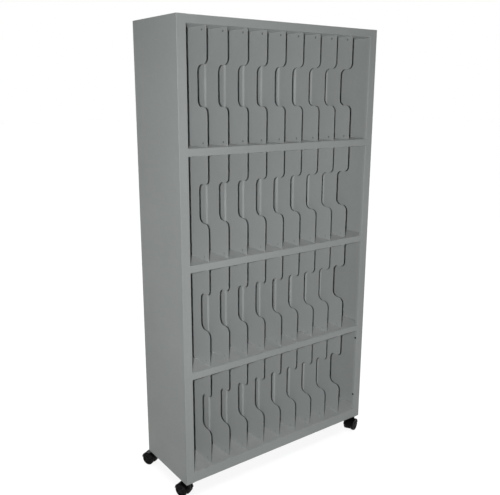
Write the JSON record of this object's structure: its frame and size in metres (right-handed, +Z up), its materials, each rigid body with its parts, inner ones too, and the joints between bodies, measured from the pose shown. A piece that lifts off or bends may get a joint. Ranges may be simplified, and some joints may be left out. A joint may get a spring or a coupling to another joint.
{
  "type": "filing cabinet",
  "caption": "Tall open-front steel filing cabinet with tiers of narrow compartments between dividers with finger cut-outs, on twin-wheel swivel casters.",
  "frame": {"origin": "on the floor under the middle of the cabinet's body", "axes": "+Z up, the open front faces -Y, and +X is to the right seen from the front"},
  "size_m": [0.9616, 0.3615, 1.74],
  "materials": {
    "grey_paint": "satin powder coat with a fine orange-peel texture",
    "plated_steel": "dull zinc plating",
    "black_plastic": "fine-grained moulded nylon",
    "black_tyre": "smooth hard plastic, slightly scuffed"
  },
  "bodies": {
    "cabinet": {"left_side_panel": "grey_paint", "right_side_panel": "grey_paint", "back_panel": "grey_paint", "top_panel": "grey_paint", "bottom_panel": "grey_paint", "upper_shelf": "grey_paint", "middle_shelf": "grey_paint", "lower_shelf": "grey_paint", "divider_1_1": "grey_paint", "divider_1_2": "grey_paint", "divider_1_3": "grey_paint", "divider_1_4": "grey_paint", "divider_1_5": "grey_paint", "divider_1_6": "grey_paint", "divider_1_7": "grey_paint", "divider_1_8": "grey_paint", "divider_1_9": "grey_paint", "divider_2_1": "grey_paint", "divider_2_2": "grey_paint", "divider_2_3": "grey_paint", "divider_2_4": "grey_paint", "divider_2_5": "grey_paint", "divider_2_6": "grey_paint", "divider_2_7": "grey_paint", "divider_2_8": "grey_paint", "divider_2_9": "grey_paint", "divider_3_1": "grey_paint", "divider_3_2": "grey_paint", "divider_3_3": "grey_paint", "divider_3_4": "grey_paint", "divider_3_5": "grey_paint", "divider_3_6": "grey_paint", "divider_3_7": "grey_paint", "divider_3_8": "grey_paint", "divider_3_9": "grey_paint", "divider_4_1": "grey_paint", "divider_4_2": "grey_paint", "divider_4_3": "grey_paint", "divider_4_4": "grey_paint", "divider_4_5": "grey_paint", "divider_4_6": "grey_paint", "divider_4_7": "grey_paint", "divider_4_8": "grey_paint", "divider_4_9": "grey_paint", "divider_clips": "grey_paint", "panel_rivets": "plated_steel", "corner_plates": "plated_steel", "caster_stems": "plated_steel"},
    "front_left_caster": {"front_left_housing": "black_plastic"},
    "front_left_wheel_a": {"front_left_wheel_a": "black_tyre"},
    "front_left_wheel_b": {"front_left_wheel_b": "black_tyre"},
    "front_right_caster": {"front_right_housing": "black_plastic"},
    "front_right_wheel_a": {"front_right_wheel_a": "black_tyre"},
    "front_right_wheel_b": {"front_right_wheel_b": "black_tyre"},
    "rear_left_caster": {"rear_left_housing": "black_plastic"},
    "rear_left_wheel_a": {"rear_left_wheel_a": "black_tyre"},
    "rear_left_wheel_b": {"rear_left_wheel_b": "black_tyre"},
    "rear_right_caster": {"rear_right_housing": "black_plastic"},
    "rear_right_wheel_a": {"rear_right_wheel_a": "black_tyre"},
    "rear_right_wheel_b": {"rear_right_wheel_b": "black_tyre"}
  },
  "joints": [
    {"name": "front_left_swivel", "type": "hinge", "parent": "cabinet", "child": "front_left_caster", "pos_m": [-0.439, -0.1345, 0.045], "axis": [0, 0, 1], "continuous": true},
    {"name": "front_left_wheel_a_spin", "type": "hinge", "parent": "front_left_caster", "child": "front_left_wheel_a", "pos_m": [-0.44652, -0.11383, 0.025], "axis": [-0.9397, -0.342, 0], "continuous": true},
    {"name": "front_left_wheel_b_spin", "type": "hinge", "parent": "front_left_caster", "child": "front_left_wheel_b", "pos_m": [-0.44652, -0.11383, 0.025], "axis": [-0.9397, -0.342, 0], "continuous": true},
    {"name": "front_right_swivel", "type": "hinge", "parent": "cabinet", "child": "front_right_caster", "pos_m": [0.439, -0.1345, 0.045], "axis": [0, 0, 1], "continuous": true},
    {"name": "front_right_wheel_a_spin", "type": "hinge", "parent": "front_right_caster", "child": "front_right_wheel_a", "pos_m": [0.41833, -0.14202, 0.025], "axis": [0.342, -0.9397, 0], "continuous": true},
    {"name": "front_right_wheel_b_spin", "type": "hinge", "parent": "front_right_caster", "child": "front_right_wheel_b", "pos_m": [0.41833, -0.14202, 0.025], "axis": [0.342, -0.9397, 0], "continuous": true},
    {"name": "rear_left_swivel", "type": "hinge", "parent": "cabinet", "child": "rear_left_caster", "pos_m": [-0.439, 0.1337, 0.045], "axis": [0, 0, 1], "continuous": true},
    {"name": "rear_left_wheel_a_spin", "type": "hinge", "parent": "rear_left_caster", "child": "rear_left_wheel_a", "pos_m": [-0.4483, 0.15364, 0.025], "axis": [-0.9063, -0.4226, 0], "continuous": true},
    {"name": "rear_left_wheel_b_spin", "type": "hinge", "parent": "rear_left_caster", "child": "rear_left_wheel_b", "pos_m": [-0.4483, 0.15364, 0.025], "axis": [-0.9063, -0.4226, 0], "continuous": true},
    {"name": "rear_right_swivel", "type": "hinge", "parent": "cabinet", "child": "rear_right_caster", "pos_m": [0.439, 0.1337, 0.045], "axis": [0, 0, 1], "continuous": true},
    {"name": "rear_right_wheel_a_spin", "type": "hinge", "parent": "rear_right_caster", "child": "rear_right_wheel_a", "pos_m": [0.4483, 0.15364, 0.025], "axis": [-0.9063, 0.4226, 0], "continuous": true},
    {"name": "rear_right_wheel_b_spin", "type": "hinge", "parent": "rear_right_caster", "child": "rear_right_wheel_b", "pos_m": [0.4483, 0.15364, 0.025], "axis": [-0.9063, 0.4226, 0], "continuous": true}
  ]
}
